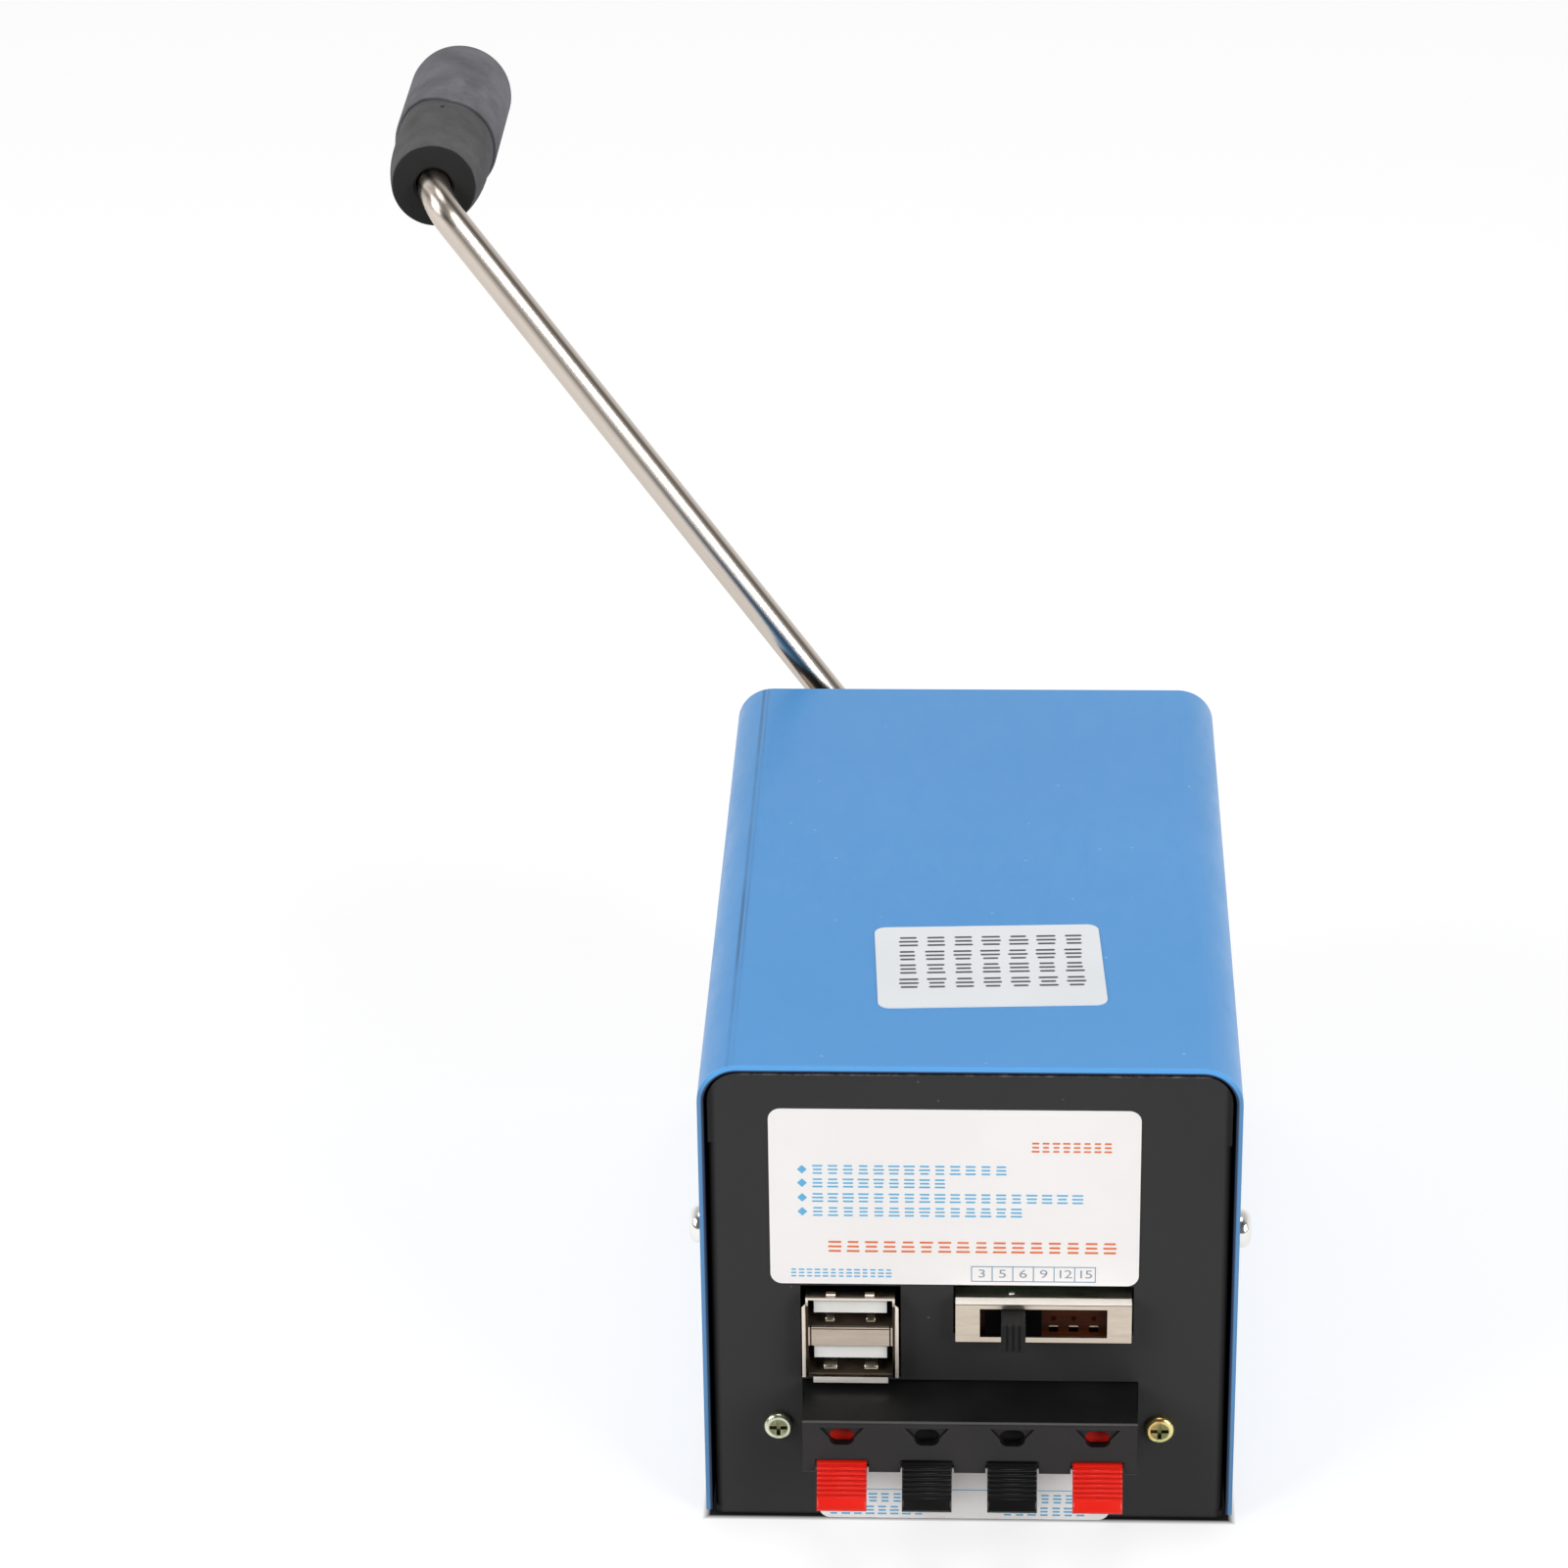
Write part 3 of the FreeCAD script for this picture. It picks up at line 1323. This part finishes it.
def terminal_lever(x):
    """One push lever: a ribbed tab outside and a round nose behind the wire hole."""
    pivot = Vector(0, pivot_y, lever_pivot_height)
    nose_low = lever_root_height
    rise = lever_top - lever_pivot_height
    drop = lever_pivot_height - nose_low
    nose_top = Vector(0, pivot_y - math.sqrt(lever_nose_radius ** 2 - rise ** 2), lever_top)
    nose_foot = Vector(0, pivot_y - math.sqrt(lever_nose_radius ** 2 - drop ** 2), nose_low)
    nose_middle = Vector(0, pivot_y - lever_nose_radius, lever_pivot_height)
    root = Vector(0, terminal_front - lever_root_out, lever_root_height)
    tip = Vector(0, terminal_front - lever_tip_out, lever_tip_height)
    direction = (tip - root).normalize()
    inward = Vector(0, -direction.z, direction.y)
    inner_tip = tip + inward * lever_tab_thickness
    inner_root = root + inward * lever_tab_thickness
    belly = pivot + Vector(0, lever_belly_half, -lever_barrel_radius)
    back = pivot + Vector(0, lever_barrel_radius, 0)
    shoulder = Vector(0, pivot_y - lever_barrel_radius, lever_top)
    edges = [Part.Arc(nose_top, nose_middle, nose_foot).toShape()]
    points = [nose_foot, root, tip, inner_tip, inner_root, belly, back, shoulder, nose_top]
    for start, end in zip(points, points[1:]):
        edges.append(Part.LineSegment(start, end).toShape())
    body = Part.Face(Part.Wire(edges)).extrude(X_AXIS * lever_width)
    body.translate(Vector(x - lever_width / 2, 0, 0))
    reach = lever_width / 2 + lever_trunnion_length
    trunnions = cylinder(lever_trunnion_radius, pivot + X_AXIS * (x - reach), X_AXIS, 2 * reach)
    return joined([body, trunnions]).cut(lever_rib_cuts(x, root, direction, inward))


def terminal_springs():
    """A bent spring strip behind each lever; its free end presses the lever's belly."""
    rear = chamber_rear
    top = chamber_top - free_gap
    knee = lever_pivot_height - spring_knee_drop
    tip_y = pivot_y - spring_tip_setback
    tip_z = lever_pivot_height - lever_barrel_radius - spring_gap
    flat = spring_thickness
    fold = spring_knee_bend - flat
    springs = []
    for x in terminal_centres():
        left = x - spring_width / 2
        corners = [Vector(left, rear, top), Vector(left, rear, knee - flat),
                   Vector(left, tip_y, tip_z - 3 * flat), Vector(left, tip_y, tip_z - 2 * flat),
                   Vector(left, rear - flat, knee), Vector(left, rear - flat, top)]
        springs.append(prism(corners, [0, spring_knee_bend, 0, 0, fold, 0], X_AXIS * spring_width))
    return Part.makeCompound(springs)


def terminal_screws():
    """Two small screws that hold the terminal housing."""
    screw = pan_screw(terminal_screw_head, terminal_screw_head_height, terminal_screw_length)
    return Part.makeCompound([turned(screw, -Y_AXIS, place) for place in terminal_screw_places()])


def terminal_nuts():
    """Two nuts behind the terminal housing's ears."""
    start = front_inner + terminal_ear_thickness
    nuts = []
    for place in terminal_screw_places():
        radius = nut_across_flats / math.sqrt(3)
        corners = [Vector(place.x + radius * math.cos(k * math.pi / 3), start,
                          place.z + radius * math.sin(k * math.pi / 3)) for k in range(6)]
        nut = prism(corners, [0] * 6, Y_AXIS * nut_thickness)
        nuts.append(nut.cut(along_y(thread_radius + press_gap, place, start, start + nut_thickness)))
    return Part.makeCompound(nuts)


# ---- Circuit boards ----

def main_board():
    """The board under the sockets."""
    board = block((-board_width / 2, board_width / 2), (board_front, board_rear), (board_low, board_top))
    holes = [cylinder(thread_radius + hole_slack, place + Z_AXIS * board_low, Z_AXIS, board_thickness)
             for place in standoff_places()]
    return board.cut(holes)


def switch_board():
    """The upright board that the slide switch is soldered to."""
    x_range = (switch_x - side_board_width / 2, switch_x + side_board_width / 2)
    rear = switch_rear + board_thickness
    board = block(x_range, (switch_rear, rear), (board_top, board_top + side_board_height))
    holes = [along_y(switch_pin_radius + press_gap, place, switch_rear, rear)
             for place in switch_pin_places()]
    return board.cut(holes)


def board_standoffs():
    """Four threaded supports, pressed into the floor."""
    supports = []
    for place in standoff_places():
        post = cylinder(standoff_radius, place + Z_AXIS * sheet, Z_AXIS, board_low - sheet)
        foot = cylinder(standoff_foot_radius, place, Z_AXIS, sheet)
        thread_foot = place + Z_AXIS * (board_low - board_screw_length)
        thread = cylinder(thread_radius + press_gap, thread_foot, Z_AXIS, board_screw_length)
        supports.append(joined([post, foot]).cut(thread))
    return Part.makeCompound(supports)


def board_screws():
    """Four screws that hold the main board."""
    screw = pan_screw(pan_head, pan_head_height, board_screw_length)
    return Part.makeCompound([turned(screw, Z_AXIS, place + Z_AXIS * board_top)
                              for place in standoff_places()])


def capacitor(place, radius, height):
    """One capacitor can with the groove near its foot."""
    can = cylinder(radius, place, Z_AXIS, height)
    ring = Part.makeTorus(radius, capacitor_groove, place + Z_AXIS * capacitor_groove_height, Z_AXIS)
    return can.cut(ring)


def capacitors():
    """One large and two small capacitors."""
    middle = (board_screw_edge + dynamo_centre.x - regulator_width / 2) / 2
    room = 2 * (capacitor_radius + small_capacitor_radius) + capacitor_spacing
    large = Vector(middle - room / 2 + capacitor_radius,
                   board_rear - capacitor_radius - capacitor_spacing, board_top)
    cans = [capacitor(large, capacitor_radius, capacitor_height)]
    beside = large + X_AXIS * (capacitor_radius + small_capacitor_radius + capacitor_spacing)
    for step in (0, 1):
        place = beside - Y_AXIS * step * (2 * small_capacitor_radius + capacitor_spacing)
        cans.append(capacitor(place, small_capacitor_radius, small_capacitor_height))
    return Part.makeCompound(cans)


def inductor_place():
    """The foot of the choke coil on the main board."""
    y = switch_rear + switch_pin_length + inductor_radius + inductor_gap
    return Vector(switch_x, y, board_top + 2 * inductor_wire_radius + 2 * press_gap)


def inductor_core():
    """The ring core of the choke coil."""
    place = inductor_place()
    ring = cylinder(inductor_radius - 2 * inductor_wire_radius, place, Z_AXIS, inductor_thickness)
    return ring.cut(cylinder(inductor_bore, place, Z_AXIS, inductor_thickness))


def inductor_winding():
    """The turns of wire round the ring core."""
    place = inductor_place()
    near = inductor_bore - inductor_wire_radius - press_gap
    far = inductor_radius - inductor_wire_radius + press_gap
    low = -inductor_wire_radius - press_gap
    high = inductor_thickness + inductor_wire_radius + press_gap
    corners = [Vector(near, 0, low), Vector(far, 0, low), Vector(far, 0, high), Vector(near, 0, high)]
    path = outline(corners, [inductor_corner] * 4)
    start = Vector((near + far) / 2, 0, low)
    section = Part.Wire(Part.Circle(start, X_AXIS, inductor_wire_radius).toShape())
    turn = path.makePipeShell([section], True, False)
    turns = []
    for index in range(inductor_turns):
        copy = turn.copy()
        copy.rotate(Vector(0, 0, 0), Z_AXIS, inductor_wound_angle * index / inductor_turns)
        copy.translate(place)
        turns.append(copy)
    return Part.makeCompound(turns)


def regulator():
    """The regulator with its metal tab, standing on the main board."""
    x = dynamo_centre.x - regulator_width / 2
    y = board_rear - regulator_thickness - regulator_inset
    body = block((x, x + regulator_width), (y, y + regulator_thickness),
                 (board_top, board_top + regulator_body_height))
    tab = block((x, x + regulator_width), (y + regulator_thickness - regulator_tab, y + regulator_thickness),
                (board_top + regulator_body_height, board_top + regulator_height))
    hole = cylinder(thread_radius + hole_slack, Vector(x + regulator_width / 2, y, board_top
                    + regulator_hole_height), Y_AXIS, 2 * regulator_thickness)
    return joined([body, tab]).cut(hole)


def rectifier():
    """The square rectifier behind the sockets."""
    x = board_screw_edge + rectifier_side_gap
    y = usb_rear + rectifier_gap
    return rounded_block_y((x, x + rectifier_size), (y, y + rectifier_thickness),
                           (board_top, board_top + rectifier_size), rectifier_corner)


# ---- Leads ----

def dynamo_lead(side):
    """A lead from one of the dynamo's tabs down to the main board."""
    start = Vector(dynamo_centre.x + side * tab_offset,
                   dynamo_y(dynamo_can_length + cap_thickness + tab_length), tab_z)
    bend_point = start - Y_AXIS * lead_run
    foot = Vector(bend_point.x, bend_point.y, board_top)
    return lead([start, bend_point, foot], lead_radius, lead_bend)


def terminal_leads():
    """Four leads from the terminals' pockets up to the underside of the main board."""
    leads = []
    rear = front_inner + terminal_depth
    for x in terminal_centres():
        start = Vector(x, rear - terminal_wall, (terminal_low + terminal_high) / 2)
        corner = Vector(x, rear + terminal_lead_run, start.z)
        end = Vector(x, corner.y, board_low)
        leads.append(lead([start, corner, end], lead_radius, lead_bend))
    return Part.makeCompound(leads)


def build():
    """Make every sub-part and write it."""
    os.makedirs("parts", exist_ok=True)
    save("chassis", chassis())
    save("top_cover", top_cover())
    save("cover_screws", cover_screws())
    save("front_label", panel_label(front_label_left, front_label_right, front_label_low, front_label_high))
    save("lower_label", panel_label(lower_label_left, lower_label_right, lower_label_low, lower_label_high))
    save("top_sticker", top_sticker())
    save("rear_gear_plate", rear_gear_plate())
    save("front_gear_plate", front_gear_plate())
    save("gearbox_pillars", gearbox_pillars())
    save("gearbox_screws", gearbox_screws())
    save("crank_bush_rear", crank_bush_rear())
    save("crank_bush_front", crank_bush_front())
    save("crank_shaft", crank_shaft())
    save("shaft_clip", shaft_clip())
    save("crank_gear", crank_gear())
    save("idler_gear", idler_gear())
    save("idler_pinion", idler_pinion())
    save("idler_pin", idler_pin())
    save("crank_rod", crank_rod())
    save("crank_set_screw", crank_set_screw())
    save("grip_sleeve", grip_sleeve())
    save("grip_core", grip_core())
    save("grip_clip", grip_clip())
    save("dynamo_can", dynamo_can())
    save("dynamo_cap", dynamo_cap())
    save("dynamo_brushes", dynamo_brushes())
    save("dynamo_magnets", dynamo_magnets())
    save("dynamo_bushes", dynamo_bushes())
    save("armature_core", armature_core())
    save("armature_windings", armature_windings())
    save("commutator", commutator())
    save("dynamo_shaft", dynamo_shaft())
    save("dynamo_pinion", dynamo_pinion())
    save("usb_shell", usb_shell())
    save("usb_insulator", usb_insulator())
    save("switch_frame", switch_frame())
    save("switch_base", switch_base())
    save("switch_contacts", switch_contacts())
    save("switch_knob", switch_knob())
    save("terminal_housing", terminal_housing())
    for number, x in enumerate(terminal_centres(), 1):
        save("terminal_lever_%d" % number, terminal_lever(x))
    save("terminal_springs", terminal_springs())
    save("terminal_screws", terminal_screws())
    save("terminal_nuts", terminal_nuts())
    save("main_board", main_board())
    save("switch_board", switch_board())
    save("board_standoffs", board_standoffs())
    save("board_screws", board_screws())
    save("capacitors", capacitors())
    save("inductor_core", inductor_core())
    save("inductor_winding", inductor_winding())
    save("regulator", regulator())
    save("rectifier", rectifier())
    save("dynamo_lead_red", dynamo_lead(-1))
    save("dynamo_lead_black", dynamo_lead(1))
    save("terminal_leads", terminal_leads())


build()
